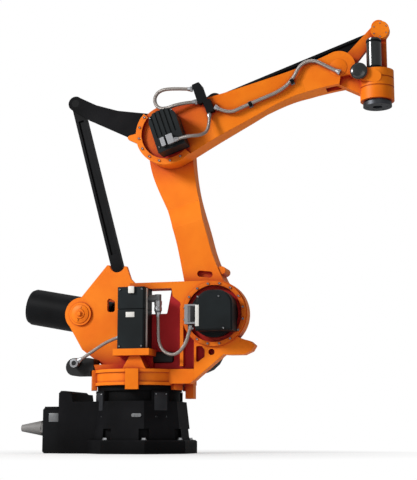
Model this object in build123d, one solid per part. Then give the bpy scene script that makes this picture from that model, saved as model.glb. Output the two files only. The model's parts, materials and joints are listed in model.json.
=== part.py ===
"""Palletising robot arm: four driven axes and two parallelograms that keep the wrist level.

Millimetres. X runs forward along the arm, Y to the far side, Z up; the origin is on the floor
under the swivel axis. The arm stands as shown: link arm leaning back, forearm raised.
"""
import math
import os

from build123d import *

# Fits
fit = 0.05          # radial clearance of pins in their bores
gap = 0.3           # gap between seated or running faces

# Linkage
shoulder_x = 545.0
shoulder_z = 880.0
link_len = 1250.0
link_lean = 15.0    # degrees back from upright
fore_len = 1200.0
fore_pitch = 18.9   # degrees above level
tail_dx = -756.0    # lower parallelogram, from shoulder and from elbow
tail_dz = 339.0
lever_dx = 257.0    # upper parallelogram, from elbow and from wrist pivot
lever_dz = 285.0
flange_dx = 240.0   # tool axis from the wrist pivot
flange_dz = -262.0

elbow_x = shoulder_x - link_len * math.sin(math.radians(link_lean))
elbow_z = shoulder_z + link_len * math.cos(math.radians(link_lean))
wrist_x = elbow_x + fore_len * math.cos(math.radians(fore_pitch))
wrist_z = elbow_z + fore_len * math.sin(math.radians(fore_pitch))
foot_pin = (shoulder_x + tail_dx, shoulder_z + tail_dz)
tail_pin = (elbow_x + tail_dx, elbow_z + tail_dz)
top_pin = (elbow_x + lever_dx, elbow_z + lever_dz)
lever_pin = (wrist_x + lever_dx, wrist_z + lever_dz)
tool_x = wrist_x + flange_dx
tool_z = wrist_z + flange_dz

# Layers across the arm, from the near side (negative Y) to the far side
ring_out = -185.0
ring_near = -165.0
ring_floor = -145.0
cheek_mid = -112.0
cheek_in = -80.0
arm_near = -70.0
arm_top_near = 0.0
arm_far = 100.0
far_in = 112.0
far_out = 148.0
tri_near = 106.0
tri_far = 130.0
rod_near = 136.0
rod_far = 184.0
fore_near = -150.0
fore_far = -8.0
fork_half = 42.0
fork_out = 80.0
bracket_near = 15.0
bracket_far = 45.0
outer_near = 300.0
outer_far = 330.0

# Pins
shoulder_r = 60.0
elbow_r = 55.0
wrist_r = 45.0
rod_pin_r = 28.0
pin_head = 14.0
eye_r = 50.0

# Base
foot_half = 350.0
foot_h = 86.0
foot_edge = 10.0
body_low = foot_half - 38
body_top = body_low - 27
body_h = 330.0
neck_r = body_top - 9
neck_waist = neck_r - 14
neck_rim = 34.0
neck_top = 430.0
pad_w = 120.0
pad_low = 200.0
pad_out = body_top + 3
bolt_inset = 15.0
bolt_pcd = 2 * (foot_half - bolt_inset)
bolt_n = 8
bolt_r = 11.0
pocket_w = 64.0
pocket_h = 70.0
rear_len = 87.0
rear_half = 200.0
rear_top = 400.0
rear_step = 15.0
rear_gap = 107.0
rear_x = -(body_low + rear_gap - 18 + rear_len)
box_len = 120.0
box_half = 170.0
box_h = 293.0
lid_t = 14.0
gland_y = -110.0
gland_z = 162.0
gland_r = 54.0
boot_r = 50.0
boot_tip_r = 22.0
boot_len = 148.0

# Turntable and its deck
table_low = neck_top + gap
table_top = 532.0
table_r = neck_r + 24
table_waist = table_r - 10
table_rim = 20.0
table_front = 411.0
far_front = 345.0   # the casting is shorter under the far cheek
stop_x0 = 318.0     # finger that meets the swivel stop
stop_x1 = 372.0
stop_low = 348.0
stop_half = 32.0
block_low = 440.0
lug_low = 402.0
lug_clear = 7.0
lug_t = 32.0
lug_w = 84.0
lug_angles = (-82, -20, -155, 82, 20, 155)
deck_h = 40.0
deck_x0 = -272.0
deck_x1 = 40.0
deck_y0 = -108.0
sleeve_fitting = (deck_x0 - 128, table_top + 48)
fitting_r = 27.0
sleeve_len = 214.0
sleeve_h = 116.0

# Column cheeks
shoulder_ring = 215.0
ring_in = 182.0
bar_h = 48.0
bar_x0 = -25.0
window_x0 = 35.0
window_top = shoulder_z + 168
window_low = shoulder_z + 14
cheek_x0 = 325.0
web_h = 158.0
far_ring = 148.0
far_x0 = 250.0
far_hole = ((28, 30), (74, 130), (160, 130), (80, 30))
cap_r = 112.0
leg_hole_r = 20.0
guard_points = ((0, -30), (0, 134), (199, 134), (187, 84), (161, 38), (121, 2), (79, -16))

# Outlines of the near cheek, from the shoulder
leg_points = ((-104, -394), (66, -254), (120, -150), (0, -60), (-134, -139), (-134, -420))
hook_points = ((20, -150), (150, -150), (190, -166), (232, -178), (262, -204), (240, -240),
               (190, -262), (100, -262), (40, -258))
rib_points = ((-227, -330), (-227, 60), (-205, 60), (-205, -330))
corner_points = ((-215, 30), (-227, 80), (-277, 120))
pocket_points = ((-120, -314), (-120, -204), (-82, -204), (-64, -228), (-64, -272))

# Rear bracket and counterbalance
bar_top_z = shoulder_z + shoulder_ring
crown_points = ((132, -68), (103, 16), (-35, 29))    # from the rod's foot pin
scoop_dx = 35.0
scoop_dz = 31.0
scoop_r = 54.0
foot_lug_r = 45.0
foot_lug_t = 26.0
foot_lug_drop = 90.0
bridge_points = ((-45, -130), (45, -130), (45, -62), (-45, -62))
bracket_hole = ((188, 8), (188, 110), (242, 80), (242, 8))
trunnion_dx = -218.0    # from the lower rod's foot pin
trunnion_dz = -298.0
trunnion_boss = 113.0
trunnion_r = 34.0
hub_r = 77.0
cyl_r = 124.0
cyl_tilt = 10.7
cyl_back = 437.0
cyl_ahead = 215.0
trunnion_x = foot_pin[0] + trunnion_dx
trunnion_z = foot_pin[1] + trunnion_dz

# Motors
motor_x = 27.5
motor_y = -210.0
motor_w = 180.0
motor_z0 = 658.0
motor_top = 1053.0
ledge_t = 43.0
ledge_x0 = -87.0
ledge_x1 = 154.0
cap_w = 238.0
cap_low = 135.0
cap_near = -330.0
cap_dx = 35.0
cap_dz = 15.0
elbow_cap_w = 190.0
elbow_cap_h = 250.0
elbow_cap_near = -300.0
fin_n = 5
fin_w = 12.0
fin_depth = 7.0
elbow_seat_r = 92.0
elbow_cap_r = 84.0
lower_half = 40.0
upper_half = 36.0

# Link arm, half widths along its length
arm_back = ((0, 165), (310, 158), (450, 149), (620, 146), (800, 166), (1015, 200), (1250, 178))
arm_front = ((1250, -135), (1031, -86), (800, -62), (554, -66), (435, -66), (323, -76), (0, -150))
arm_step0 = 640.0
arm_step1 = 790.0
arm_hub = 165.0
arm_head = 160.0
ear_r = 26.0

# Forearm
elbow_ring = 212.0
elbow_ring_in = 172.0
elbow_rim = 28.0
ring_open = 48.0    # the raised ring stops where it faces up and forward
root_len = 361.5    # this much of the forearm, from the elbow, keeps its size
drawn_len = 1200.0
stretch = (fore_len - root_len) / (drawn_len - root_len)


def reach(u):
    """Place along the forearm, which moves with the forearm's length beyond its root."""
    return root_len + (u - root_len) * stretch


fore_top = ((0, 200), (reach(402), 124), (reach(600), 114), (reach(900), 104), (fore_len, 112))
fore_low = ((fore_len, -112), (reach(1050), -84), (reach(886), -68), (reach(595), -104), (308, -150),
            (0, -205))
fore_past = 200.0   # the taper's cut runs on past the wrist
fork_r = 112.0
fork_slot = 125.0
notch_points = ((14, -60), (72, -52), (110, -90), (80, -140), (0, -140))
taper_u0 = reach(300.0)    # the sides taper between these distances from the elbow
taper_u1 = reach(950.0)
hand_r = 92.0

# Wrist
house_r = 110.0
house_top = -25.0
house_low = -225.0
house_groove = 4.0
boss_r = 60.0
head_dx = 15.0      # near boss of the head, from the lever pin
head_dz = -38.0
eye_boss_r = 46.0
wrist_motor_r = 49.0
wrist_motor_dx = -10.0
wrist_motor_top = 183.0
wrist_motor_y = -50.0
cap_gap = 6.0
dust_r = 55.0
dust_x = 138.0
dust_z = -50.0
tool_r = 93.0
tool_pcd = 125.0
tool_n = 6
tool_hole_r = 5.0
tool_bore_r = 31.5
tool_depth = 14.0

# Conduits
thin_r = 11.0
main_r = 12.0
loop_r = 12.0
clamp_w = 26.0
clamp_h = 44.0
clamp_gap = 2.0
clamp_spots = ((reach(585), -21.8, -141.3), (reach(889), 26, -109))

stand = (Align.CENTER, Align.CENTER, Align.MIN)


def side(face, y0, y1):
    """Extrude a face drawn in X and Z from y0 to y1."""
    return Pos(0, y1, 0) * Rot(90, 0, 0) * extrude(face, amount=y1 - y0)


def disc(x, z, r, y0, y1):
    """Cylinder across the arm."""
    return side(Pos(x, z) * Circle(r), y0, y1)


def outline(points):
    """Closed face through points."""
    return make_face(Polyline(*points, close=True))


def rounded(points, radius):
    """Closed face through points with rounded corners."""
    return make_face(FilletPolyline(*points, radius=radius, close=True))


def from_point(centre, points):
    """Points given from a centre."""
    return [(centre[0] + dx, centre[1] + dz) for dx, dz in points]


def turned(face, centre, angle):
    """Face drawn at the origin, turned and moved to a pivot in the X-Z plane."""
    return Pos(centre[0], centre[1]) * Rot(0, 0, angle) * face


def blade(p, r, q, s):
    """Two circles joined by their outer tangents."""
    dx, dy = q[0] - p[0], q[1] - p[1]
    d = math.hypot(dx, dy)
    a = math.atan2(dy, dx)
    b = math.acos((r - s) / d)

    def on(c, rad, t):
        return (c[0] + rad * math.cos(t), c[1] + rad * math.sin(t))

    e1 = Line(on(p, r, a + b), on(q, s, a + b))
    e2 = ThreePointArc(on(q, s, a + b), on(q, s, a), on(q, s, a - b))
    e3 = Line(on(q, s, a - b), on(p, r, a - b))
    e4 = ThreePointArc(on(p, r, a - b), on(p, r, a + math.pi), on(p, r, a + b))
    return make_face([e1, e2, e3, e4])


def flowing(top, low, head, tail):
    """Face between two flowing edges, closed by arcs round both ends (top runs out, low runs back)."""
    a = Spline(*top)
    b = Spline(*low)
    c = ThreePointArc(top[-1], head, low[0])
    d = ThreePointArc(low[-1], tail, top[0])
    return make_face([a, c, b, d])


def tube(name, points, r):
    """Conduit of straight runs joined by tangent arcs, its section an octagon as wide as the round one."""
    runs = [math.dist(a, b) for a, b in zip(points, points[1:])]
    radii = []
    for i in range(1, len(points) - 1):
        u = (Vector(*points[i]) - Vector(*points[i - 1])).normalized()
        v = (Vector(*points[i + 1]) - Vector(*points[i])).normalized()
        half = math.acos(max(-1.0, min(1.0, u.dot(v)))) / 2
        radii.append(0.45 * min(runs[i - 1], runs[i]) / math.tan(half))
    print(name, "bend radii", [round(v) for v in radii])
    path = FilletPolyline(*points, radius=radii)
    start = Plane(origin=path @ 0, z_dir=path % 0)
    return sweep(start * RegularPolygon(r / math.cos(math.pi / 16), 8), path=path)


def on_forearm(points):
    """Points given along and above the forearm's line, turned into the frame."""
    a = math.radians(fore_pitch)
    return [(elbow_x + u * math.cos(a) - v * math.sin(a), y, elbow_z + u * math.sin(a) + v * math.cos(a))
            for u, v, y in points]


def octagon(half):
    return Rot(0, 0, 22.5) * RegularPolygon(half / math.cos(math.pi / 8), 8)


def make_base():
    foot = extrude(octagon(foot_half), amount=foot_h)
    foot = chamfer(foot.edges().group_by(Axis.Z)[-1], foot_edge)
    body = loft([Pos(0, 0, foot_h) * octagon(body_low), Pos(0, 0, body_h) * octagon(body_top)])
    neck = Cylinder(neck_waist, neck_top, align=stand)
    rim = Pos(0, 0, neck_top - neck_rim) * Cylinder(neck_r, neck_rim, align=stand)
    solid = foot + body + neck + rim
    for a in (-45, 45, -135, 135):
        pad_h = neck_top - neck_rim - pad_low
        pad = Pos(pad_out / 2, 0, pad_low) * Box(pad_out, pad_w, pad_h, align=stand)
        solid = solid + Rot(0, 0, a) * pad
    step = rear_x + rear_len / 2
    face = outline([(rear_x, 0), (rear_x, rear_top - rear_step), (rear_x + rear_step, rear_top),
                    (step, rear_top), (step + rear_step, rear_top - rear_step),
                    (rear_x + rear_len, rear_top - rear_step), (rear_x + rear_len + 8, body_h),
                    (-neck_waist / 2, body_h), (-neck_waist / 2, 0)])
    solid = solid + side(face, -rear_half, rear_half)
    hole = Cylinder(bolt_r, 3 * foot_h)
    pocket = Pos(pocket_w / 4, 0, foot_h) * Box(1.5 * pocket_w, pocket_w, pocket_h, align=stand)
    for i in range(bolt_n):
        spot = Rot(0, 0, 22.5 + 360 * i / bolt_n) * Pos(bolt_pcd / 2, 0, 0)
        solid = solid - spot * hole - spot * pocket
    return solid


def make_connector_box():
    body = Pos(rear_x - box_len / 2, 0, box_h / 2) * Box(box_len, 2 * box_half, box_h)
    body = chamfer(body.edges().filter_by(Axis.Y).group_by(Axis.X)[0], 12)
    lid = Pos(rear_x - box_len / 2, 0, box_h) * Box(box_len - 2 * lid_t, 2 * box_half + 8, lid_t)
    return body + lid


def make_gland():
    nut = extrude(RegularPolygon(gland_r, 6), amount=20)
    boot = Pos(0, 0, 20) * Cone(boot_r, boot_tip_r, boot_len, align=stand)
    return Pos(rear_x - box_len, gland_y, gland_z) * Rot(0, -90, 0) * (nut + boot)


def make_turntable():
    h = table_top - table_low
    ring = Pos(0, 0, table_low) * Cylinder(table_r, h, align=stand)
    groove = Cylinder(table_r + 10, h - 2 * table_rim) - Cylinder(table_waist, h)
    ring = ring - Pos(0, 0, table_low + h / 2) * groove
    front = side(outline([(table_r / 2, block_low), (table_front - 24, block_low),
                          (table_front, block_low + 24), (table_front, table_top),
                          (table_r / 2, table_top)]), ring_near, cheek_in)
    rear = side(outline([(table_r / 2, block_low), (far_front, block_low), (far_front, table_top),
                         (table_r / 2, table_top)]), cheek_in, far_out)
    stop = side(outline([(stop_x0, stop_low), (stop_x1, stop_low), (stop_x1, block_low + 20),
                         (stop_x0, block_low + 20)]), -stop_half, stop_half)
    floor = side(outline([(stop_x0 - 20, block_low), (stop_x1, block_low), (stop_x1, table_top),
                          (stop_x0 - 20, table_top)]), cheek_in, stop_half)
    solid = ring + front + rear + floor + stop
    for a in lug_angles:
        lug = Box(lug_t, lug_w, table_top - lug_low, align=stand)
        solid = solid + Rot(0, 0, a) * Pos(neck_r + lug_clear + lug_t / 2, 0, lug_low) * lug
    return solid


def make_deck():
    face = outline([(deck_x0, table_top), (deck_x0 - 14, table_top + deck_h), (deck_x1, table_top + deck_h),
                    (deck_x1, table_top)])
    return side(face, deck_y0, outer_far)


def make_near_cheek():
    s = (shoulder_x, shoulder_z)
    ring = Pos(*s) * Circle(shoulder_ring)
    bar_top = shoulder_z + shoulder_ring
    plate = outline([(bar_x0, table_top + deck_h), (bar_x0, bar_top), s, (table_front, table_top),
                     (deck_x1 + gap, table_top), (deck_x1 + gap, table_top + deck_h)])
    plate = plate + outline([(bar_x0, bar_top), (shoulder_x, bar_top), s])
    leg = outline(from_point(s, leg_points))
    hook = rounded(from_point(s, hook_points), 6)
    inner = side(plate + ring + leg + hook, cheek_mid, cheek_in)
    window = rounded([(window_x0, window_low), (window_x0, window_top), (shoulder_x - 300, window_top),
                      (shoulder_x - 330, window_low)], 8)
    corner = outline([(bar_x0, bar_top - bar_h + 6), (bar_x0, bar_top), (shoulder_x, bar_top), s]
                     + from_point(s, corner_points)
                     + [(shoulder_x - 285, bar_top - bar_h + 6)])
    rib = outline(from_point(s, rib_points))
    outer = side(corner + ring + leg + hook + rib, ring_near, cheek_mid)
    well = disc(*s, ring_in, ring_near - 1, ring_floor)
    pocket = side(rounded(from_point(s, pocket_points), 10), ring_near - 1, cheek_mid)
    hole = disc(shoulder_x - 19, shoulder_z - 243, leg_hole_r, ring_near - 1, cheek_mid)
    bore = disc(*s, shoulder_r + fit, ring_near - 1, cheek_in + 1)
    solid = inner + outer - side(window, ring_near - 1, cheek_in + 1)
    return solid - well - pocket - hole - bore


def make_far_cheek():
    s = (shoulder_x, shoulder_z)
    leg = outline([(far_x0, table_top), (shoulder_x - far_ring + 8, shoulder_z),
                   (shoulder_x, shoulder_z + 60), (shoulder_x + far_ring - 30, shoulder_z - 90),
                   (far_front, table_top)])
    hole = rounded(from_point((far_x0, table_top), far_hole), 16)
    solid = side(Pos(*s) * Circle(far_ring) + leg, far_in, far_out) - side(hole, far_in - 1, far_out + 1)
    solid = solid - disc(*s, shoulder_r + fit, far_in - 1, far_out + 1)
    return solid + disc(*s, cap_r, far_out, far_out + 12)


def make_front_web():
    web_top = table_top + web_h
    face = outline([(far_x0 + 30, table_top), (cheek_x0, web_top), (cheek_x0 + 30, web_top),
                    (stop_x1, table_top + web_h / 2), (stop_x1, table_top)])
    near = side(face, cheek_in, stop_half)
    face = outline([(far_x0 + 30, table_top), (cheek_x0, web_top), (cheek_x0 + 22, web_top),
                    (far_front, table_top)])
    return near + side(face, stop_half, far_in)


def make_front_guard():
    face = outline(from_point((stop_x1 + gap, table_top), guard_points))
    return side(face, cheek_in + 5, stop_half)


def make_bracket(crown, y0, y1):
    """Side plate of the rear bracket: deck edge, crown from right to left, trunnion boss."""
    base_z = table_top + deck_h
    foot = [(trunnion_x - 88, trunnion_z - 66), (trunnion_x + 14, base_z + 110), (deck_x0 + 6, base_z),
            (bar_x0 - gap, base_z)]
    face = outline(foot + crown + [(trunnion_x, trunnion_z + trunnion_boss)])
    face = face + Pos(trunnion_x, trunnion_z) * Circle(trunnion_boss)
    hole = rounded(from_point((trunnion_x, trunnion_z), bracket_hole), 16)
    solid = side(face - hole, y0, y1)
    return solid - disc(trunnion_x, trunnion_z, trunnion_r + fit, y0 - 1, y1 + 1)


def make_near_bracket():
    """Near plate with a scoop round the rod's eye, and the lug behind the eye that holds its pin."""
    crown = [(bar_x0 - gap, bar_top_z)] + from_point(foot_pin, crown_points)
    solid = make_bracket(crown, bracket_near, bracket_far)
    solid = solid + disc(trunnion_x, trunnion_z, hub_r, bracket_near - 14, bracket_near)
    solid = solid - disc(foot_pin[0] + scoop_dx, foot_pin[1] + scoop_dz, scoop_r,
                         bracket_near - 1, bracket_far + 1)
    lug = blade(foot_pin, foot_lug_r, (foot_pin[0], foot_pin[1] - foot_lug_drop), foot_lug_r)
    solid = solid + side(lug, rod_far + 6, rod_far + 6 + foot_lug_t)
    solid = solid + disc(*foot_pin, foot_lug_r, rod_far + gap, rod_far + 6)
    bridge = outline(from_point(foot_pin, bridge_points))
    solid = solid + side(bridge, bracket_far, rod_far + 6 + foot_lug_t)
    return solid - disc(*foot_pin, rod_pin_r + fit, rod_near, rod_far + 7 + foot_lug_t)


def make_far_bracket():
    crown = [(bar_x0 - gap, trunnion_z + 120), (trunnion_x + 150, trunnion_z + 150)]
    return make_bracket(crown, outer_near, outer_far)


def make_cylinder():
    y_mid = (bracket_far + outer_near) / 2
    length = cyl_back + cyl_ahead
    prof = [(0, 0), (cyl_r - 40, 0), (cyl_r - 10, 12), (cyl_r, 34), (cyl_r, length - 40),
            (cyl_r - 14, length - 40), (cyl_r - 14, length), (0, length)]
    barrel = revolve(Plane.XZ * outline(prof), Axis.Z)
    barrel = Pos(trunnion_x, y_mid, trunnion_z) * Rot(0, 90 + cyl_tilt, 0) * Pos(0, 0, -cyl_back) * barrel
    return barrel + disc(trunnion_x, trunnion_z, trunnion_r, bracket_near, outer_far)


def make_swivel_motor():
    h = motor_top - motor_z0
    body = Pos(motor_x, motor_y, motor_z0) * Box(motor_w, motor_w, h, align=stand)
    body = chamfer(body.edges().filter_by(Axis.Z), 9)
    cut = Pos(motor_x, motor_y, motor_z0 + 0.64 * h) * (
        Box(motor_w + 2, motor_w + 2, 5) - Box(motor_w - 12, motor_w - 12, 6))
    return body - cut


def make_swivel_plug():
    x0 = motor_x + motor_w / 2 + gap
    arm = Pos(x0, motor_y + 6, 985) * Rot(0, 90, 0) * Cylinder(24, 62, align=stand)
    drop = Pos(x0 + 64, motor_y + 6, 893) * Cylinder(21, 116, align=stand)
    return arm + drop


def make_ledge():
    y0, y1 = motor_y - motor_w / 2 - 4, cheek_mid - gap
    z0 = motor_z0 - ledge_t
    slab = Pos((ledge_x0 + ledge_x1) / 2, (y0 + y1) / 2, z0) * Box(
        ledge_x1 - ledge_x0, y1 - y0, ledge_t, align=stand)
    rib = side(outline([(motor_x - 60, table_top), (motor_x - 12, z0), (motor_x + 56, z0),
                        (motor_x + 96, table_top)]), -table_r + 26, y1)
    back = side(outline([(ledge_x0, table_top), (ledge_x0, z0), (ledge_x1 - 20, z0),
                         (ledge_x1 - 20, table_top)]), -160, y1)
    return slab + rib + back


def make_shoulder_ring():
    s = (shoulder_x, shoulder_z)
    return disc(*s, shoulder_ring - 8, ring_out, ring_near) - disc(*s, ring_in, ring_out - 1, ring_near + 1)


def dome_cap(w, low, high, r):
    """Motor cover outline: square below, rounded above, about the origin."""
    square = Pos(0, (high - r - low) / 2) * Rectangle(w, high - r + low)
    arch = Pos(0, high - r) * RectangleRounded(w, 2 * r, r - 0.5)
    return square + arch


def make_shoulder_motor():
    s = (shoulder_x, shoulder_z)
    face = turned(dome_cap(cap_w, cap_low, cap_w / 2, cap_w / 2 - 22),
                  (shoulder_x + cap_dx, shoulder_z + cap_dz), 0)
    cap = side(face, cap_near, ring_out - 4)
    cap = chamfer(cap.faces().sort_by(Axis.Y)[0].edges(), 10)
    return cap + disc(*s, 152, ring_out - 4, ring_floor - gap)


def make_shoulder_plug():
    x1 = shoulder_x + cap_dx - cap_w / 2 - gap
    z0 = shoulder_z - 75
    body = Pos(x1 - 38, -268, z0) * Box(76, 70, 124, align=stand)
    slot = Pos(x1 - 38, -303, z0 + 10) * Box(32, 24, 104, align=stand)
    return body - slot


def make_sleeve():
    x0 = deck_x0 - 14 - gap
    face = Pos(x0 - sleeve_len / 2 + 21, table_top + 27) * SlotOverall(sleeve_len, sleeve_h)
    face = face & (Pos(x0 - 200, table_top + 27) * Rectangle(400, 200))
    face = face - Pos(200 - table_r - 6, table_top + gap - 100) * Rectangle(400, 200)
    body = side(face, -110, 8)
    return body + disc(sleeve_fitting[0], sleeve_fitting[1], fitting_r, -172, -110)


def make_link_arm():
    s, e = (shoulder_x, shoulder_z), (elbow_x, elbow_z)
    lean = 90 + link_lean
    face = flowing(arm_back, arm_front, (link_len + arm_head, 5), (-arm_hub, 0))
    solid = side(turned(face, s, lean), arm_near, arm_far)
    cut = outline([(arm_step0, arm_near - 1), (arm_step1, arm_top_near), (link_len + 300, arm_top_near),
                   (link_len + 300, arm_near - 1)])
    place = Pos(shoulder_x, 0, shoulder_z) * Rot(0, -lean, 0)
    solid = solid - place * extrude(cut, amount=300, both=True)
    ear = blade((272, -30), 34, (278, -98), ear_r)
    solid = solid + side(turned(ear, s, lean), arm_near + 8, arm_far - 20)
    pocket = turned(Pos(284, 14) * Rot(0, 0, 68) * SlotOverall(104, 40), s, lean)
    solid = solid - side(pocket, arm_near - 1, arm_near + 30)
    solid = solid + disc(*s, 120, cheek_in + gap, arm_near) + disc(*s, 120, arm_far, far_in - gap)
    solid = solid - disc(*s, shoulder_r + fit, cheek_in - 1, far_in + 1)
    return solid - disc(*e, elbow_r + fit, arm_near - 1, arm_far + 1)


def make_elbow_pin():
    e = (elbow_x, elbow_z)
    cap = disc(*e, elbow_cap_r, tri_far + gap, tri_far + 14)
    return disc(*e, elbow_r, fore_near + 21, tri_far + gap) + cap


def make_triangle():
    e = (elbow_x, elbow_z)
    tail = from_point(e, [(0, 0), (60, 128), (-60, 205), (-190, 222), (-440, 264), (-600, 316),
                          (tail_dx + 18, tail_dz + 48), (tail_dx, tail_dz), (tail_dx - 34, tail_dz - 38),
                          (-655, 213), (-356, 66), (-110, -95)])
    face = outline(tail) + blade(e, 148, top_pin, 55)
    face = face + Pos(*tail_pin) * Circle(eye_r + 2)
    rib = outline(from_point(e, [(-120, 20), (-120, 90), (-640, 270), (-640, 240)]))
    arm = outline(from_point(e, [(70, 100), (100, 80), (230, 225), (205, 240)]))
    solid = side(face, tri_near, tri_far) + side(rib + arm, tri_far, tri_far + 3)
    for p in (tail_pin, top_pin):
        solid = solid + disc(*p, eye_r, tri_far, rod_near - gap)
        solid = solid - disc(*p, rod_pin_r + fit, tri_near - 1, rod_near + 1)
    solid = solid + disc(*e, 95, arm_far + gap, tri_near)
    return solid - disc(*e, elbow_r + fit, arm_far - 1, tri_far + 1)


def make_rod(p, q, w, eye):
    """Bar with round eyes, hollowed along both faces."""
    t = rod_far - rod_near
    d = math.dist(p, q)
    a = math.degrees(math.atan2(q[1] - p[1], q[0] - p[0]))
    body = side(turned(Pos(d / 2, 0) * Rectangle(d, 2 * w), p, a), rod_near, rod_far)
    body = body + disc(*p, eye, rod_near, rod_far) + disc(*q, eye, rod_near, rod_far)
    groove = turned(Pos(d / 2, 0) * Rectangle(d - 5 * eye, w), p, a)
    body = body - side(groove, rod_near - 1, rod_near + t / 4) - side(groove, rod_far - t / 4, rod_far + 1)
    for c in (p, q):
        body = body - disc(*c, rod_pin_r + fit, rod_near - 1, rod_far + 1)
    return body


def make_rod_pin(p, y0):
    stem = disc(*p, rod_pin_r, y0, rod_far + gap)
    return stem + disc(*p, rod_pin_r + 14, rod_far + gap, rod_far + pin_head)


def make_foot_pin():
    """Pin of the lower rod's foot, its head towards the near side."""
    back = rod_far + 6 + foot_lug_t
    head = disc(*foot_pin, rod_pin_r + 10, rod_near - pin_head, rod_near - gap)
    return disc(*foot_pin, rod_pin_r, rod_near - gap, back) + head


def make_forearm():
    e, w = (elbow_x, elbow_z), (wrist_x, wrist_z)
    face = flowing(fore_top, fore_low, (fore_len + fork_r, 0), (-elbow_ring + 6, 0))
    solid = side(turned(face, e, fore_pitch), fore_near, fork_out)
    end = fore_len + fore_past
    plan = outline([(-400, fore_near), (taper_u0, fore_near), (taper_u1, -fork_out), (end, -fork_out),
                    (end, fork_out), (taper_u1, fork_out), (taper_u1 - 300, fore_far), (-400, fore_far)])
    keep = extrude(plan, amount=500, both=True)
    solid = solid & (Pos(elbow_x, 0, elbow_z) * Rot(0, -fore_pitch, 0) * keep)
    solid = solid + disc(*e, 95, fore_far, arm_top_near - gap)
    slot = Pos(fore_len - fork_slot + 2 * fork_slot, 0) * Rectangle(4 * fork_slot, 4 * fork_slot)
    solid = solid - side(turned(slot, e, fore_pitch), -fork_half, fork_half)
    hollow = rounded([(reach(430), 20), (reach(430), -62), (reach(800), -46), (reach(800), 20)], 24)
    solid = solid - side(turned(hollow, e, fore_pitch), fore_far - 12, fork_out + 1)
    notch = outline(from_point(w, notch_points))
    solid = solid - side(notch, -fork_out - 1, -fork_half)
    solid = solid - disc(*e, elbow_r + fit, fore_near + 20, fork_out)
    return solid - disc(*w, wrist_r + fit, -fork_out - 1, fork_out + 1)


def make_elbow_ring():
    e = (elbow_x, elbow_z)
    rim = fore_near - elbow_rim
    lug = turned(blade((-150, 20), 50, (-244, 66), 16), e, fore_pitch)
    solid = side(lug + Pos(*e) * Circle(elbow_ring), rim, fore_near)
    open_side = turned(Pos(elbow_ring, 0) * Rectangle(2 * elbow_ring, 3 * elbow_ring), e, ring_open)
    return (solid - disc(*e, elbow_ring_in, rim - 1, fore_near + 1)
            - side(open_side, rim - 1, fore_near + 1))


def make_elbow_motor():
    e = (elbow_x, elbow_z)
    h = elbow_cap_h / 2
    face = Pos(26, -4) * dome_cap(elbow_cap_w, h + 24, h, 72)
    fins = Pos(26, -4) * dome_cap(elbow_cap_w, h - 76, h, 72)
    base = fore_near - elbow_rim - 1
    cap = side(turned(face, e, fore_pitch), elbow_cap_near, base)
    pitch = elbow_cap_w / (fin_n + 1)
    for i in range(fin_n):
        cut = Pos(26 - elbow_cap_w / 2 + (i + 1) * pitch, 30) * Rectangle(fin_w, 2 * h)
        cut = cut & fins
        cap = cap - side(turned(cut, e, fore_pitch), elbow_cap_near - 1, elbow_cap_near + fin_depth)
    return cap + disc(*e, elbow_seat_r, base, fore_near)


def make_elbow_plugs():
    e = (elbow_x, elbow_z)
    y0, y1 = elbow_cap_near - 24, elbow_cap_near - gap
    solid = side(turned(Pos(-14, -98) * RectangleRounded(30, 60, 5), e, fore_pitch), y0, y1)
    return solid + side(turned(Pos(38, -100) * RectangleRounded(44, 66, 5), e, fore_pitch), y0 - 6, y1)


def make_loop_fitting():
    e = (elbow_x, elbow_z)
    post = rounded([(266, 96), (266, 240), (318, 240), (330, 206), (330, 96)], 9)
    block = rounded([(300, 14), (300, 110), (352, 100), (352, 14)], 7)
    return side(turned(post + block, e, fore_pitch), fore_near - 38, fore_near)


def make_clamps():
    """Saddles between the forearm's slanted near face and its conduit."""
    place = Pos(elbow_x, 0, elbow_z) * Rot(0, -fore_pitch, 0)
    solid = None
    for u, v, y in clamp_spots:
        ends = [fore_near + (x - taper_u0) * (-fork_out - fore_near) / (taper_u1 - taper_u0)
                for x in (u - clamp_w / 2, u + clamp_w / 2)]
        seat = y + main_r + clamp_gap
        plan = outline([(u - clamp_w / 2, ends[0]), (u + clamp_w / 2, ends[1]), (u + clamp_w / 2, seat),
                        (u - clamp_w / 2, seat)])
        block = place * Pos(0, 0, v - clamp_h / 2) * extrude(plan, amount=clamp_h)
        solid = block if solid is None else solid + block
    return solid


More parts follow.
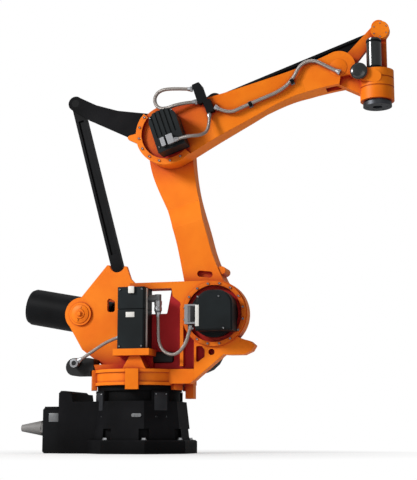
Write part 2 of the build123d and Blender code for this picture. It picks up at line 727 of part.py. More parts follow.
def make_hand():
    w = (wrist_x, wrist_z)
    t = fork_half - gap
    lower = side(blade(w, hand_r, (tool_x - 40, wrist_z - 118), 82), -t, t)
    strut = side(blade(w, 50, lever_pin, 34), 8, t)
    strip = side(outline([(tool_x + 24, wrist_z - 60), (tool_x + 66, wrist_z - 60),
                          (lever_pin[0] + 48, lever_pin[1] - 12), (lever_pin[0] + 10, lever_pin[1] - 20)]),
                 8, t)
    head = disc(lever_pin[0] + head_dx, lever_pin[1] + head_dz, boss_r, -t, 10)
    head = head + disc(*lever_pin, eye_boss_r, 0, rod_near - gap)
    h = house_top - house_low
    house = Pos(tool_x, 0, wrist_z + house_low) * Cylinder(house_r, h, align=stand)
    for z in (0.42, 0.72):
        groove = Cylinder(house_r + 5, 8) - Cylinder(house_r - house_groove, 10)
        house = house - Pos(tool_x, 0, wrist_z + house_low + z * h) * groove
    motor_at = Pos(tool_x + wrist_motor_dx, wrist_motor_y, wrist_z + house_top)
    room = motor_at * Cylinder(wrist_motor_r + 6, wrist_motor_top - house_top + 6, align=stand)
    y0 = -fork_out - cap_gap - 34
    cover = side(blade((wrist_x + dust_x, wrist_z + dust_z), dust_r - 8, (tool_x, wrist_z - 86), 40),
                 y0 + 10, -fork_out - cap_gap)
    solid = lower + strip + house + cover - room + strut + head
    solid = solid - disc(*lever_pin, rod_pin_r + fit, 14, rod_near + 1)
    return solid - disc(*w, wrist_r + fit, -t - 1, t + 1)


def make_dust_cap():
    y1 = -fork_out - cap_gap - 24
    return disc(wrist_x + dust_x, wrist_z + dust_z, dust_r, y1 - 22, y1 - gap)


def make_wrist_motor():
    h = wrist_motor_top - house_top
    body = Cylinder(wrist_motor_r, h - 8, align=stand) + Cylinder(wrist_motor_r - 8, h, align=stand)
    return Pos(tool_x + wrist_motor_dx, wrist_motor_y, wrist_z + house_top) * body


def make_tool_flange():
    top = wrist_z + house_low - gap
    place = Pos(tool_x, 0, tool_z)
    solid = place * Cylinder(tool_r, top - tool_z - 12, align=stand)
    solid = solid + place * Cylinder(tool_r - 9, top - tool_z, align=stand)
    solid = solid - place * Cylinder(tool_bore_r, 2 * tool_depth)
    hole = Cylinder(tool_hole_r, 2 * 18)
    for i in range(tool_n):
        solid = solid - place * Rot(0, 0, 360 / tool_n * i) * Pos(tool_pcd / 2, 0, 0) * hole
    return solid


# Conduit routes
swivel_x = motor_x + motor_w / 2 + gap + 64
column_route = [(swivel_x, -204, 892.2), (swivel_x + 3, -206, 800), (swivel_x + 5, -208, 700),
                (swivel_x + 46, -213, 634), (swivel_x + 121, -224, 614), (swivel_x + 182, -240, 662),
                (400, -256, 735), (417, -268, 801.5)]
rear_route = [(-66, -200, 744), (-150, -192, 722), (-262, -162, 664), (-376, -150, 594.3)]
elbow_route = on_forearm([(61, -116, -316), (148, -121, -313.5), (228, -140, -268), (286, -104, -214),
                          (312, 8.5, -172)])
fore_route = on_forearm([(root_len, 40, -169), (428, -36, -163), (reach(530), -26, -148),
                         (reach(640), -18, -135), (reach(800), -12, -118), (reach(900), 34, -108),
                         (reach(975), 112, -102), (reach(1065), 112, -99), (reach(1135), 30, -97),
                         (fore_len, -44, -96)])
loop_route = on_forearm([(261, 216, -169), (160, 262, -180), (60, 290, -195), (4, 254, -202),
                         (-4, 191, -205), (40, 147, -205), (150, 150, -196), (262, 122, -170)])

parts = {
    "base_casting": make_base(),
    "connector_box": make_connector_box(),
    "cable_gland": make_gland(),
    "turntable": make_turntable(),
    "rear_deck": make_deck(),
    "near_cheek": make_near_cheek(),
    "far_cheek": make_far_cheek(),
    "front_web": make_front_web(),
    "front_guard": make_front_guard(),
    "near_bracket": make_near_bracket(),
    "far_bracket": make_far_bracket(),
    "counterbalance_cylinder": make_cylinder(),
    "swivel_motor": make_swivel_motor(),
    "swivel_plug": make_swivel_plug(),
    "motor_ledge": make_ledge(),
    "shoulder_ring": make_shoulder_ring(),
    "shoulder_motor": make_shoulder_motor(),
    "shoulder_plug": make_shoulder_plug(),
    "cable_sleeve": make_sleeve(),
    "shoulder_pin": disc(shoulder_x, shoulder_z, shoulder_r, ring_floor + gap, far_out - gap),
    "foot_pin": make_foot_pin(),
    "column_conduit": tube("column_conduit", column_route, thin_r),
    "rear_conduit": tube("rear_conduit", rear_route, thin_r),
    "link_arm": make_link_arm(),
    "elbow_pin": make_elbow_pin(),
    "levelling_triangle": make_triangle(),
    "tail_pin": make_rod_pin(tail_pin, tri_near),
    "top_pin": make_rod_pin(top_pin, tri_near),
    "lower_rod": make_rod(foot_pin, tail_pin, lower_half, eye_r),
    "upper_rod": make_rod(top_pin, lever_pin, upper_half, eye_r - 4),
    "forearm": make_forearm(),
    "elbow_ring": make_elbow_ring(),
    "elbow_motor": make_elbow_motor(),
    "elbow_plugs": make_elbow_plugs(),
    "loop_fitting": make_loop_fitting(),
    "conduit_clamps": make_clamps(),
    "elbow_conduit": tube("elbow_conduit", elbow_route, thin_r),
    "loop_conduit": tube("loop_conduit", loop_route, loop_r),
    "forearm_conduit": tube("forearm_conduit", fore_route, main_r),
    "wrist_pin": disc(wrist_x, wrist_z, wrist_r, -fork_out, fork_out),
    "hand": make_hand(),
    "dust_cap": make_dust_cap(),
    "wrist_motor": make_wrist_motor(),
    "lever_pin": make_rod_pin(lever_pin, 15),
    "tool_flange": make_tool_flange(),
}

os.makedirs("parts", exist_ok=True)
for name, solid in parts.items():
    export_step(solid, "parts/" + name + ".step")
    print(name, round(solid.volume / 1e6, 3), "dm3", len(solid.solids()), "solid")
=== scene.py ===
import json
import math

import bmesh
import bpy
from mathutils import Matrix, Vector


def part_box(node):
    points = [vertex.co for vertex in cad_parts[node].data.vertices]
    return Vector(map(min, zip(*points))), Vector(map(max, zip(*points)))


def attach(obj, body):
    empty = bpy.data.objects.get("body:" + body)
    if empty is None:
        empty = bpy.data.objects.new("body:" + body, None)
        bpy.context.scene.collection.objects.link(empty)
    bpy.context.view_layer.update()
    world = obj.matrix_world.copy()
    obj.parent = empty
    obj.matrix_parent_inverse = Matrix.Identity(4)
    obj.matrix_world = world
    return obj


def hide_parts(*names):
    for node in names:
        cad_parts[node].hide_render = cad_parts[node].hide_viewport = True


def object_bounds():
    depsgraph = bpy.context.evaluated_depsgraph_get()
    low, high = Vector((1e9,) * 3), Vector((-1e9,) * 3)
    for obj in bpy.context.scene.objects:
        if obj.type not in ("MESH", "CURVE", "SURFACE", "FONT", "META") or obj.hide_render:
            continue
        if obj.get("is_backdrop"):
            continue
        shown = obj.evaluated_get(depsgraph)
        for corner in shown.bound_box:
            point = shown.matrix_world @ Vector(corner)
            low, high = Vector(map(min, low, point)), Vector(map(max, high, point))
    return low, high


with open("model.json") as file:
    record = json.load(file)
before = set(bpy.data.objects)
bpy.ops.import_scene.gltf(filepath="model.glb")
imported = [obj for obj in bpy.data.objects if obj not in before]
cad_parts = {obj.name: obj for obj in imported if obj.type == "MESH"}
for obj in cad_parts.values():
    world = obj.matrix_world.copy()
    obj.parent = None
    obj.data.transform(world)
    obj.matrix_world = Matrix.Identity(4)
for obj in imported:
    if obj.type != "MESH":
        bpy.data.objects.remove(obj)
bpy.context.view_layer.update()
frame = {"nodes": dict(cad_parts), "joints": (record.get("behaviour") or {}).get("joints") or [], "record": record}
nodes = frame["nodes"]

# Pivots, in metres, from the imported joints
pivot = {j["name"]: Vector(j["pos_m"]) for j in frame["joints"]}
shoulder = pivot["shoulder"]
elbow = pivot["elbow"]
wrist = pivot["wrist_level"]
foot_pin = pivot["lower_rod_hinge"]
lever_pin = wrist + pivot["upper_rod_hinge"] - elbow
fore_pitch = math.atan2(wrist.z - elbow.z, wrist.x - elbow.x)
near = Vector((0, -1, 0))
far = Vector((0, 1, 0))
ahead = Vector((1, 0, 0))
up = Vector((0, 0, 1))


def linear(code):
    """Linear colour of an sRGB hex code."""
    parts = [int(code[i:i + 2], 16) / 255 for i in (1, 3, 5)]
    return [c / 12.92 if c <= 0.04045 else ((c + 0.055) / 1.055) ** 2.4 for c in parts] + [1]


# Materials

def add(tree, kind, inputs=None, links=None, **settings):
    """One shader node with its settings, constant inputs and incoming links."""
    node = tree.nodes.new(kind)
    for key, value in settings.items():
        setattr(node, key, value)
    for key, value in (inputs or {}).items():
        node.inputs[key].default_value = value
    for key, (source, output) in (links or {}).items():
        tree.links.new(source.outputs[output], node.inputs[key])
    return node


def surface(name, **sockets):
    """A material with its principled shader, whose constants are set on its own sockets."""
    material = bpy.data.materials.new(name)
    material.use_nodes = True
    tree = material.node_tree
    shader = tree.nodes["Principled BSDF"]
    for key, value in sockets.items():
        shader.inputs[key.replace("_", " ")].default_value = value
    return material, tree, shader


def ramp(tree, source, output, stops):
    """Colour ramp between sRGB colours."""
    node = add(tree, "ShaderNodeValToRGB", links={"Fac": (source, output)})
    elements = node.color_ramp.elements
    for i, (place, code) in enumerate(stops):
        element = elements[i] if i < 2 else elements.new(place)
        element.position = place
        element.color = linear(code)
    return node


def paint(name, light, body, dark, corner, grain_mm, grain, rough, edge_mm, coat=0.0, gloss=0.5,
          shaded_recess_y=None):
    """Sprayed paint on a casting: slow colour drift, painted shade in the corners, cast grain, softened edges.

    The last argument is the place across the arm, in metres, of a recess whose floor is painted dark red as
    painted shade.
    The grain of the casting is finer than a pixel, so it is drawn a few times coarser than it is."""
    drift_scale = 3.2       # patches about 300 mm across, as the spray gun leaves them
    painted_shade_reach = 0.2        # how far from a corner the painted shade reaches
    grain_height = 0.0012
    floor_depth = 0.0008
    # dark red for the painted shade on a recess floor
    painted_shade_red = "#B4262A"
    material, tree, shader = surface(name, Roughness=rough, Coat_Weight=coat, Coat_Roughness=0.25,
                                     IOR=1.5, Specular_IOR_Level=gloss)
    where = add(tree, "ShaderNodeTexCoord")
    drift = add(tree, "ShaderNodeTexNoise", {"Scale": drift_scale, "Detail": 3.0, "Roughness": 0.55},
                {"Vector": (where, "Object")})
    tone = ramp(tree, drift, "Fac", ((0.3, dark), (0.5, body), (0.72, light)))
    # Painted shade: ambient occlusion blends the darker corner colour into corners, creases and recesses
    painted_shade_ao = add(tree, "ShaderNodeAmbientOcclusion", {"Distance": painted_shade_reach}, samples=8)
    painted_shade_amount = add(tree, "ShaderNodeMapRange", {"From Min": 0.35, "From Max": 0.9}, {"Value": (painted_shade_ao, "AO")})
    whole = add(tree, "ShaderNodeMixRGB", {"Color1": linear(corner)},
                {"Fac": (painted_shade_amount, "Result"), "Color2": (tone, "Color")})
    # Painted shade: beyond the given place across the arm, the recess floor is painted dark red
    if shaded_recess_y is not None:
        split = add(tree, "ShaderNodeSeparateXYZ", None, {"Vector": (where, "Object")})
        in_shaded_recess = add(tree, "ShaderNodeMath", {1: shaded_recess_y, 2: floor_depth}, {0: (split, "Y")},
                   operation="COMPARE")
        whole = add(tree, "ShaderNodeMixRGB", {"Color2": linear(painted_shade_red)},
                    {"Fac": (in_shaded_recess, "Value"), "Color1": (whole, "Color")})
    tree.links.new(whole.outputs["Color"], shader.inputs["Base Color"])
    skin = add(tree, "ShaderNodeTexNoise", {"Scale": 1000 / grain_mm, "Detail": 2.0, "Roughness": 0.5},
               {"Vector": (where, "Object")})
    matt = add(tree, "ShaderNodeMapRange", {"To Min": rough - 0.06, "To Max": rough + 0.08},
               {"Value": (skin, "Fac")})
    tree.links.new(matt.outputs["Result"], shader.inputs["Roughness"])
    soft = add(tree, "ShaderNodeBevel", {"Radius": edge_mm / 1000}, samples=4)
    bump = add(tree, "ShaderNodeBump", {"Strength": grain, "Distance": grain_height},
               {"Height": (skin, "Fac"), "Normal": (soft, "Normal")})
    tree.links.new(bump.outputs["Normal"], shader.inputs["Normal"])
    return material


def metal(name, light, dark, rough, stretch, lines_mm, strength):
    """Machined metal with fine turning or grinding lines, drawn coarser than they are, to show."""
    edge = 0.001
    line_height = 0.0004
    material, tree, shader = surface(name, Metallic=1.0, Roughness=rough)
    where = add(tree, "ShaderNodeTexCoord")
    place = add(tree, "ShaderNodeMapping", {"Scale": stretch}, {"Vector": (where, "Object")})
    lines = add(tree, "ShaderNodeTexNoise", {"Scale": 1000 / lines_mm, "Detail": 3.0},
                {"Vector": (place, "Vector")})
    tone = ramp(tree, lines, "Fac", ((0.3, dark), (0.7, light)))
    tree.links.new(tone.outputs["Color"], shader.inputs["Base Color"])
    soft = add(tree, "ShaderNodeBevel", {"Radius": edge}, samples=4)
    bump = add(tree, "ShaderNodeBump", {"Strength": strength, "Distance": line_height},
               {"Height": (lines, "Fac"), "Normal": (soft, "Normal")})
    tree.links.new(bump.outputs["Normal"], shader.inputs["Normal"])
    return material


# Two-part orange enamel over a fettled casting: bright, low gloss, faint orange peel; corners, pockets and ribs
# are painted deep red as painted shade
orange = paint("orange_enamel", "#F8861A", "#F37D13", "#EA6E0C", "#A01414",
               grain_mm=5.0, grain=0.10, rough=0.45, edge_mm=3.0, gloss=0.15)
# The same enamel on the near cheek, with the floor of its recess painted dark red as painted shade
recess_floor = -0.112
cheek_orange_with_painted_shade = paint("orange_enamel_with_painted_recess_shade", "#F8861A", "#F37D13", "#EA6E0C", "#A01414",
                     grain_mm=5.0, grain=0.10, rough=0.45, edge_mm=3.0, gloss=0.15, shaded_recess_y=recess_floor)
# Each paint below also takes a darker corner colour, mixed in as painted shade
# Satin black brushed over a rough casting: almost no highlight
black_cast = paint("black_casting_paint", "#1B1B1D", "#121214", "#0B0B0C", "#060606",
                   grain_mm=4.0, grain=0.35, rough=0.60, edge_mm=3.0, gloss=0.05)
# Powder coat on drawn steel bars and covers: even, deep black, soft highlight
black_coat = paint("black_powder_coat", "#161719", "#0F1012", "#09090A", "#050505",
                   grain_mm=2.0, grain=0.15, rough=0.50, edge_mm=1.5, gloss=0.08)
# Enamel on a die-cast motor housing: dark, with a cold green cast
motor_black = paint("motor_housing_enamel", "#1D2426", "#161B1D", "#0F1314", "#0A0C0C",
                    grain_mm=3.0, grain=0.12, rough=0.45, edge_mm=2.0, gloss=0.14)
# Glossy stove enamel on the tool axis motor: mirrors the lamps in one narrow streak
motor_gloss = paint("stove_enamel", "#1B201F", "#141817", "#0D100F", "#070808",
                    grain_mm=2.0, grain=0.04, rough=0.16, edge_mm=2.0, coat=0.6)
# Moulded neoprene sleeve and boot: matt, with no clear highlight
rubber = paint("neoprene", "#1E1F21", "#151618", "#0D0E0F", "#060606",
               grain_mm=3.0, grain=0.25, rough=0.62, edge_mm=1.0, gloss=0.3)
# Woven screen of the boot behind the connector box: dull grey, broken up by its wires
screen = paint("screened_boot", "#8C8A88", "#757371", "#5D5B5A", "#3A3938",
               grain_mm=3.0, grain=0.6, rough=0.55, edge_mm=1.0, gloss=0.4)
# Off-white enamel on thin sheet and moulded sockets: smooth and plain, the palest thing on the arm; also the
# painted highlight down the swivel motor's edge
pale = paint("off_white_enamel", "#E9E7E2", "#DDDBD5", "#CFCDC7", "#8A8883",
             grain_mm=2.0, grain=0.05, rough=0.45, edge_mm=0.5)
# Dusty black enamel on cast covers: a shade lighter than the casting that they close
pad_grey = paint("dusty_black_enamel", "#3A3B3E", "#303134", "#26272A", "#141415",
                 grain_mm=3.0, grain=0.25, rough=0.6, edge_mm=1.0, gloss=0.1)
# Grey anodised trim: even and satin, without the bright lines of bare metal
grey = paint("grey_anodised_trim", "#77797A", "#66686A", "#55575A", "#303132",
             grain_mm=2.0, grain=0.08, rough=0.40, edge_mm=0.5, coat=0.1)
# Ground steel on pins, screws and plug frames: bright, with fine lines that stretch the highlight
steel = metal("ground_steel", "#B9BABC", "#86878A", rough=0.36, stretch=(1, 1, 8), lines_mm=2.0,
              strength=0.2)
# Phosphated steel of the tool flange: dark, matt and slightly mottled
phosphated = metal("phosphated_steel", "#54565A", "#33353A", rough=0.46, stretch=(1, 1, 1), lines_mm=1.2,
                   strength=0.3)


def braid():
    """Tinned wire braid over a conduit, laid out on its own UV map: silvery rings across the run.

    Real crossings are 2 mm apart, too fine for the render, so these are 4 to 10 mm apart."""
    crossings = (60, 6, 1)      # along the run and round it
    material, tree, shader = surface("braided_conduit", Metallic=0.75, Roughness=0.42)
    where = add(tree, "ShaderNodeTexCoord")
    place = add(tree, "ShaderNodeMapping", {"Scale": crossings}, {"Vector": (where, "UV")})
    wire = add(tree, "ShaderNodeTexWave", {"Scale": 1.0, "Distortion": 0.6, "Detail": 1.0},
               {"Vector": (place, "Vector")}, bands_direction="DIAGONAL")
    tone = ramp(tree, wire, "Fac", ((0.1, "#6E6763"), (0.8, "#B2AAA4")))
    tree.links.new(tone.outputs["Color"], shader.inputs["Base Color"])
    bump = add(tree, "ShaderNodeBump", {"Strength": 0.5, "Distance": 0.0015}, {"Height": (wire, "Fac")})
    tree.links.new(bump.outputs["Normal"], shader.inputs["Normal"])
    return material


conduit_grey = braid()

slots = {
    "orange_paint": orange,
    "black_casting": black_cast,
    "black_metal": black_coat,
    "bare_steel": steel,
    "flange_steel": phosphated,
    "hose_rubber": rubber,
    "conduit_grey": conduit_grey,
}
node_slot = {row["node"]: row["material_slot"] for row in frame["record"]["subparts"]}
# Nodes whose finish differs from the rest of their slot
special = {"swivel_motor": motor_black, "shoulder_motor": motor_black, "elbow_motor": motor_black,
           "wrist_motor": motor_gloss, "cable_gland": screen, "dust_cap": motor_gloss,
           "tail_pin": black_coat, "top_pin": black_coat, "swivel_plug": grey,
           "near_cheek": cheek_orange_with_painted_shade}
for name, piece in nodes.items():
    piece.data.materials.clear()
    piece.data.materials.append(special.get(name, slots[node_slot[name]]))


# Piece making

def facing(point, axis):
    """Matrix that takes local Z to an axis at a point."""
    return Matrix.Translation(point) @ up.rotation_difference(Vector(axis)).to_matrix().to_4x4()


def keep(bm, name, body, finish):
    """Finished piece from a bmesh, on its body, with its edges over 35 degrees left sharp."""
    bmesh.ops.recalc_face_normals(bm, faces=bm.faces)
    mesh = bpy.data.meshes.new(name)
    bm.to_mesh(mesh)
    bm.free()
    mesh.materials.append(finish)
    mesh.shade_smooth()
    mesh.set_sharp_from_angle(angle=math.radians(35))
    piece = bpy.data.objects.new(name, mesh)
    bpy.context.scene.collection.objects.link(piece)
    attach(piece, body)
    return piece


def drum(bm, place, r0, r1, depth, sides):
    """Closed cone or cylinder that stands on a place; returns its outer cap."""
    made = bmesh.ops.create_cone(bm, cap_ends=True, segments=sides, radius1=r0, radius2=r1, depth=depth,
                                 matrix=place @ Matrix.Translation((0, 0, depth / 2)))
    tip = place @ Vector((0, 0, depth))
    faces = {f for v in made["verts"] for f in v.link_faces if len(f.verts) == sides}
    return min(faces, key=lambda f: (f.calc_center_median() - tip).length)


def socket_head(bm, place, r):
    """Cap screw with a hexagon socket."""
    cap = drum(bm, place, r, r * 0.94, r * 1.1, 18)
    axis = place.to_3x3() @ up
    bmesh.ops.inset_region(bm, faces=[cap], thickness=r * 0.42)
    bmesh.ops.translate(bm, verts=cap.verts, vec=-axis * r * 0.7)


def hex_head(bm, place, r):
    """Hexagon bolt on its washer."""
    drum(bm, place, r * 1.75, r * 1.75, r * 0.3, 24)
    drum(bm, place @ Matrix.Translation((0, 0, r * 0.3)), r * 1.3, r * 1.24, r * 0.95, 6)


def screws(name, body, shape, r, axis, points, finish=steel):
    """All the screws of one joint, as one piece."""
    bm = bmesh.new()
    for point in points:
        shape(bm, facing(point, axis), r)
    return keep(bm, name, body, finish)


def circle(centre, y, radius, count, start=0.0):
    """Points on a circle across the arm."""
    return [Vector((centre.x + radius * math.cos(math.radians(start) + i * math.tau / count), y,
                    centre.z + radius * math.sin(math.radians(start) + i * math.tau / count)))
            for i in range(count)]


def flat_circle(centre, radius, count, start=0.0):
    """Points on a level circle."""
    return [centre + Vector((radius * math.cos(math.radians(start) + i * math.tau / count),
                             radius * math.sin(math.radians(start) + i * math.tau / count), 0))
            for i in range(count)]


def on_forearm(points):
    """Points given along and above the forearm's line in millimetres, turned into the frame."""
    c, s = math.cos(fore_pitch), math.sin(fore_pitch)
    return [(elbow.x + (u * c - v * s) / 1000, y / 1000, elbow.z + (u * s + v * c) / 1000)
            for u, v, y in points]


def in_metres(points):
    """Points of the frame given in millimetres."""
    return [(x / 1000, y / 1000, z / 1000) for x, y, z in points]


# Conduits on the routes of the model: body, radius in millimetres, length in metres, route
routes = {
    "column_conduit": ("column", 11, 0.568, in_metres((
        (181.8, -204, 892.2), (184.8, -206, 800), (186.8, -208, 700), (227.8, -213, 634),
        (302.8, -224, 614), (363.8, -240, 662), (400, -256, 735), (417, -268, 801.5)))),
    "rear_conduit": ("column", 11, 0.35, in_metres((
        (-66, -200, 744), (-150, -192, 722), (-262, -162, 664), (-376, -150, 594.3)))),
    "elbow_conduit": ("forearm", 11, 0.379, on_forearm((
        (61, -116, -316), (148, -121, -313.5), (228, -140, -268), (286, -104, -214), (312, 8.5, -172)))),
    "loop_conduit": ("forearm", 12, 0.619, on_forearm((
        (261, 216, -169), (160, 262, -180), (60, 290, -195), (4, 254, -202), (-4, 191, -205),
        (40, 147, -205), (150, 150, -196), (262, 122, -170)))),
    "forearm_conduit": ("forearm", 12, 0.968, on_forearm((
        (361.5, 40, -169), (428, -36, -163), (530, -26, -148), (640, -18, -135), (800, -12, -118),
        (900, 34, -108), (975, 112, -102), (1065, 112, -99), (1135, 30, -97), (1200, -44, -96)))),
}


def conduit(name, body, r_mm, points):
    """Braided conduit as one smooth spline, with a hexagon gland at each end."""
    r = r_mm / 1000
    curve = bpy.data.curves.new(name + "_braid", "CURVE")
    curve.dimensions = "3D"
    spline = curve.splines.new("NURBS")
    spline.points.add(len(points) - 1)
    for point, place in zip(spline.points, points):
        point.co = (*place, 1)
    spline.order_u = 3
    spline.use_endpoint_u = True
    spline.resolution_u = 10
    curve.bevel_depth = r
    curve.bevel_resolution = 4
    curve.use_fill_caps = True
    curve.materials.append(conduit_grey)
    piece = bpy.data.objects.new(name + "_braid", curve)
    bpy.context.scene.collection.objects.link(piece)
    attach(piece, body)
    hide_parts(name)
    bm = bmesh.new()
    for a, b in ((points[0], points[1]), (points[-1], points[-2])):
        run = (Vector(b) - Vector(a)).normalized()
        drum(bm, facing(Vector(a), run), r * 1.6, r * 1.6, r * 1.1, 6)
        drum(bm, facing(Vector(a) + run * r * 1.1, run), r * 1.42, r * 1.12, r * 1.6, 20)
    glands = keep(bm, name + "_glands", body, steel)


for name, (body, r_mm, length, points) in routes.items():
    conduit(name, body, r_mm, points)


# Head radii of the screws and bolts, by what they hold
ring_screw = 0.007
cap_screw = 0.006
box_screw = 0.005
pad_screw = 0.0045
head_screw = 0.004
anchor_bolt = 0.011

# Screws round the joints and the foot
foot_top = 0.086
anchor_circle = 0.335
screws("shoulder_ring_screws", "column", socket_head, ring_screw, near,
       circle(shoulder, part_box("shoulder_ring")[0].y, 0.195, 16, 11))
# The forearm covers the rest of the elbow ring's screws
screws("elbow_ring_screws", "forearm", socket_head, ring_screw, near,
       circle(elbow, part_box("elbow_ring")[0].y, 0.192, 16, 8)[6:14])
screws("far_cap_screws", "column", socket_head, cap_screw, far,
       circle(shoulder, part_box("far_cheek")[1].y, 0.092, 8, 22))
screws("elbow_cap_screws", "link_arm", socket_head, cap_screw, far,
       circle(elbow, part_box("elbow_pin")[1].y, 0.066, 6, 30))
screws("floor_bolts", "base", hex_head, anchor_bolt, up,
       flat_circle(Vector((0, 0, foot_top)), anchor_circle, 8, 22.5))


def block(bm, low, high, edge):
    """Softened box between two corners."""
    low, high = Vector(low), Vector(high)
    size = Matrix.Diagonal((*(high - low), 1))
    made = bmesh.ops.create_cube(bm, size=1, matrix=Matrix.Translation((low + high) / 2) @ size)
    edges = list({e for v in made["verts"] for e in v.link_edges})
    bmesh.ops.bevel(bm, geom=edges, offset=edge, segments=2, profile=0.5, affect="EDGES", material=-1)


def plate(name, body, low, high, edge, finish):
    """Softened plate or box as a piece of its own."""
    bm = bmesh.new()
    block(bm, low, high, edge)
    return keep(bm, name, body, finish)


def turned(name, body, point, axis, steps, finish, sides=48):
    """Turned piece: rings of radius and height along an axis, closed at both ends."""
    bm = bmesh.new()
    place = facing(Vector(point), axis)
    rings = []
    for r, h in steps:
        ring = bmesh.ops.create_circle(bm, cap_ends=False, segments=sides, radius=r,
                                       matrix=place @ Matrix.Translation((0, 0, h)))["verts"]
        rings.append(list({e for v in ring for e in v.link_edges}))
    for a, b in zip(rings, rings[1:]):
        bmesh.ops.bridge_loops(bm, edges=a + b)
    bmesh.ops.holes_fill(bm, edges=rings[0] + rings[-1], sides=sides)
    return keep(bm, name, body, finish)


# Swivel motor: blank plate, moulded socket at the top, a pale strip down its edge as a painted highlight, tie
# bolts
sheet = 0.0022
tie_inset = 0.016
motor_low, motor_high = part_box("swivel_motor")
front = motor_low.y
plate("motor_blank_plate", "column", (-0.004, front - sheet, 0.858), (0.054, front, 0.891), 0.001, pale)
plate("motor_socket", "column", (0.014, front - 0.016, 1.010), (0.054, front, motor_high.z + 0.002), 0.004,
      pale)
# Painted highlight: a pale strip stands in for the light along the motor's edge
plate("motor_edge_painted_highlight", "column", (motor_high.x, -0.262, motor_low.z + 0.006),
      (motor_high.x + 0.004, -0.232, motor_high.z - 0.006), 0.0015, pale)
corner_x = (motor_low.x + tie_inset, motor_high.x - tie_inset)
corner_z = (motor_low.z + tie_inset, motor_high.z - tie_inset)
screws("motor_tie_bolts", "column", socket_head, cap_screw, near,
       [Vector((x, front, z)) for x in corner_x for z in corner_z])
# Grooved union nut where the conduit drops out of the motor's plug
drop_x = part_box("swivel_plug")[1].x - 0.021
turned("swivel_plug_nut", "column", (drop_x, -0.204, 0.900), up,
       ((0.020, 0), (0.0250, 0.003), (0.0250, 0.024), (0.0232, 0.027), (0.0232, 0.040), (0.0250, 0.043),
        (0.0250, 0.066), (0.021, 0.069)), steel, 28)

# Shoulder motor: dark contact insert in the plug's frame, pale latch beside it, cover screws
low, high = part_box("shoulder_plug")
plate("shoulder_plug_insert", "column", (low.x + 0.038, low.y - 0.0015, low.z + 0.012),
      (high.x - 0.001, low.y + 0.012, high.z - 0.012), 0.002, rubber)
plate("shoulder_plug_latch", "column", (high.x + 0.002, -0.3325, low.z - 0.018),
      (high.x + 0.026, -0.330, high.z - 0.008), 0.001, pale)
low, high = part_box("shoulder_motor")
screws("shoulder_cap_screws", "column", socket_head, cap_screw, near,
       [Vector((x, low.y, z)) for x, z in ((low.x + 0.055, low.z + 0.045),
                                           (high.x - 0.055, low.z + 0.045),
                                           (low.x + 0.085, high.z - 0.060),
                                           (high.x - 0.085, high.z - 0.060))])

# Black rubber block beside the ledge, standing in for the deep shade under the cheek's plate: painted shade
plate("black_shade_block", "column", (0.118, -0.152, 0.574), (0.268, -0.112, 0.646), 0.017, rubber)

# Base: blank plate and screws on the connector box
low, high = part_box("connector_box")
side_y = low.y + 0.004
plate("box_blank_plate", "base", (low.x + 0.042, side_y - sheet, 0.202), (high.x - 0.007, side_y, 0.258),
      0.001, grey)
screws("box_screws", "base", socket_head, box_screw, -ahead,
       [Vector((low.x, y, z)) for y in (-0.150, 0.0, 0.150) for z in (0.035, 0.262)])


def pad_covers():
    """Bolted covers on the four upright pads of the base."""
    turns = [Matrix.Rotation(math.radians(turn), 3, "Z") for turn in (-45, 45, 135, 225)]
    pad_face = 0.288
    cover_face = 0.2915
    bm = bmesh.new()
    for turn in turns:
        made = len(bm.verts)
        block(bm, (pad_face, -0.046, 0.222), (cover_face, 0.046, 0.384), 0.002)
        bm.verts.ensure_lookup_table()
        bmesh.ops.rotate(bm, verts=bm.verts[made:], cent=(0, 0, 0), matrix=turn)
    keep(bm, "pad_covers", "base", pad_grey)
    bm = bmesh.new()
    for turn in turns:
        for y in (-0.036, 0.036):
            for z in (0.232, 0.374):
                socket_head(bm, facing(turn @ Vector((cover_face, y, z)), turn @ ahead), pad_screw)
    keep(bm, "pad_cover_screws", "base", steel)


def slot_plug():
    """Slot-shaped blanking plug, flush with the base's sloping side: two round ends and a bar."""
    lean = math.atan2(0.027, 0.244)     # the side's slope, inwards over its height
    face = Vector((0, -math.cos(lean), math.sin(lean)))
    left, right = 0.052, 0.094
    bm = bmesh.new()
    for x in (left, right):
        drum(bm, facing(Vector((x, -0.2953, 0.240)), face), 0.0125, 0.0115, 0.006, 24)
    block(bm, (left, -0.3005, 0.2285), (right, -0.292, 0.2515), 0.001)
    keep(bm, "base_slot_plug", "base", grey)


pad_covers()
slot_plug()

# Bracket: turned cap and bolt over the trunnion; steel coupling where the rear conduit ends
trunnion_back = 0.218
trunnion_drop = 0.298
hub = Vector((foot_pin.x - trunnion_back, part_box("near_bracket")[0].y, foot_pin.z - trunnion_drop))
turned("trunnion_cap", "column", hub, near,
       ((0.062, -0.001), (0.062, 0.004), (0.059, 0.006), (0.034, 0.006), (0.031, 0.011), (0.0, 0.011)),
       orange)
screws("trunnion_bolt", "column", hex_head, anchor_bolt, near, [hub + near * 0.011], orange)
turned("sleeve_coupling", "column", (-0.400, -0.140, 0.580), near,
       ((0.0275, 0), (0.0300, 0.003), (0.0300, 0.028), (0.0285, 0.033), (0.016, 0.034), (0.014, 0.028)),
       steel)

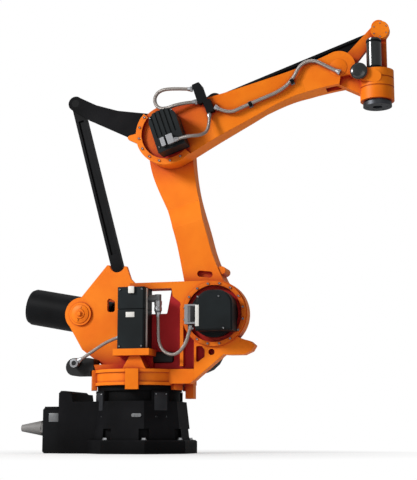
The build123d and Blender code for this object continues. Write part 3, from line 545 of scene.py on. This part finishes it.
# Elbow and forearm: cover screws, dark bands where the saddles hold the conduit, cap over the wrist pin
low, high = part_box("elbow_motor")
cap_spots = on_forearm([(u, v, low.y * 1000) for u, v in ((-52, -118), (104, -118), (-52, 92), (104, 92))])
screws("elbow_cap_corner_screws", "forearm", socket_head, box_screw, near, [Vector(p) for p in cap_spots])
saddles = (((560, -24, -144.5), (610, -20, -138)), ((876, 20.5, -111), (902, 32, -107.5)))
for i, ends in enumerate(saddles):
    start, end = (Vector(p) for p in on_forearm(ends))
    run = (end - start).normalized()
    turned(f"conduit_band_{i + 1}", "forearm", (start + end) / 2 - run * 0.012, run,
           ((0.0125, 0), (0.0150, 0.001), (0.0150, 0.023), (0.0125, 0.024)), black_coat, 24)
turned("wrist_pin_cap", "forearm", (wrist.x, -0.080, wrist.z), near,
       ((0.058, 0), (0.058, 0.0018), (0.055, 0.0030), (0.0, 0.0030)), orange)

# Wrist: domed dust cap, bands on the glossy motor, screws round the head
low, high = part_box("dust_cap")
turned("dust_cap_dome", "wrist", ((low.x + high.x) / 2, low.y, (low.z + high.z) / 2), near,
       ((0.050, 0), (0.049, 0.003), (0.044, 0.006), (0.034, 0.009), (0.020, 0.011), (0.0, 0.012)),
       motor_gloss)
low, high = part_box("wrist_motor")
axis_x, axis_y = (low.x + high.x) / 2, (low.y + high.y) / 2
turned("wrist_motor_band", "wrist", (axis_x, axis_y, high.z - 0.030), up,
       ((0.0485, 0), (0.0505, 0.001), (0.0505, 0.014), (0.0485, 0.015)), black_coat)
turned("wrist_motor_foot", "wrist", (axis_x, axis_y, wrist.z - 0.0245), up,
       ((0.0485, 0), (0.0535, 0.001), (0.0535, 0.016), (0.0485, 0.018)), black_coat)
screws("head_screws", "wrist", socket_head, head_screw, near,
       circle(lever_pin + Vector((0.015, 0, -0.038)), -0.0417, 0.046, 6, 30))


# Stage

def stage():
    """Pale floor that fades to white, one soft key lamp from the left, weak fill and top lamps."""
    floor_radius = 40
    floor_drop = 0.0005     # keeps the floor clear of the foot's underside
    bpy.ops.mesh.primitive_circle_add(vertices=96, radius=floor_radius, fill_type="NGON",
                                      location=(0, 0, -floor_drop))
    floor = bpy.context.object
    floor.name = "studio_floor"
    material, tree, shader = surface("studio_floor_paint", Roughness=0.9, Specular_IOR_Level=0.1)
    shader.inputs["Base Color"].default_value = linear("#F6F6F6")
    white = add(tree, "ShaderNodeEmission", {"Color": (1, 1, 1, 1), "Strength": 1.0})
    where = add(tree, "ShaderNodeTexCoord")
    reach = add(tree, "ShaderNodeVectorMath", None, {"Vector": (where, "Object")}, operation="LENGTH")
    fade = add(tree, "ShaderNodeMapRange", {"From Min": 0.5, "From Max": 2.2, "To Min": 0.45},
               {"Value": (reach, "Value")})
    both = add(tree, "ShaderNodeMixShader", None,
               {"Fac": (fade, "Result"), 1: (shader, "BSDF"), 2: (white, "Emission")})
    path = add(tree, "ShaderNodeLightPath")
    seen = add(tree, "ShaderNodeMixShader", None,
               {"Fac": (path, "Is Camera Ray"), 1: (shader, "BSDF"), 2: (both, "Shader")})
    tree.links.new(seen.outputs["Shader"], tree.nodes["Material Output"].inputs["Surface"])
    floor.data.materials.append(material)
    floor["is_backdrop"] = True
    world = bpy.data.worlds.new("studio")
    bpy.context.scene.world = world
    world.use_nodes = True
    tree = world.node_tree
    sky = tree.nodes["Background"]
    sky.inputs["Color"].default_value = (1, 1, 1, 1)
    path = add(tree, "ShaderNodeLightPath")
    mirrored = add(tree, "ShaderNodeMapRange", {"To Min": 0.14, "To Max": 0.4},
                   {"Value": (path, "Is Glossy Ray")})
    strength = add(tree, "ShaderNodeMath", None,
                   {0: (path, "Is Camera Ray"), 1: (mirrored, "Result")}, operation="MAXIMUM")
    tree.links.new(strength.outputs["Value"], sky.inputs["Strength"])
    aim = Vector((0.4, 0, 1.3))
    # Name, place, size in metres and power in watts
    lamps = (("key", (-6.6, -6.4, 5.9), 2.6, 1000), ("fill", (4.0, -7.0, 1.5), 4.0, 70),
             ("top", (0.5, 1.5, 6.5), 4.0, 110))
    for name, place, size, power in lamps:
        light = bpy.data.lights.new(name, "AREA")
        light.energy = power
        light.size = size
        lamp = bpy.data.objects.new(name, light)
        lamp.matrix_world = facing(Vector(place), Vector(place) - aim)
        bpy.context.scene.collection.objects.link(lamp)


def camera():
    """The photograph's viewpoint, fitted to the arm's pivots: low, to the right, looking up."""
    data = bpy.data.cameras.new("camera")
    data.lens = 85.01
    data.sensor_width = 36
    data.clip_end = 200
    eye = bpy.data.objects.new("camera", data)
    bearing, distance, height = math.radians(17.841), 7.511757, 0.115998
    heading, pitch = math.radians(14.411), math.radians(9.773)
    eye.location = (math.sin(bearing) * distance, -math.cos(bearing) * distance, height)
    eye.rotation_euler = (math.pi / 2 + pitch, 0, heading)
    bpy.context.scene.collection.objects.link(eye)
    bpy.context.scene.camera = eye


stage()
camera()
bpy.context.scene.view_settings.view_transform = "Standard"

low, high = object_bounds()
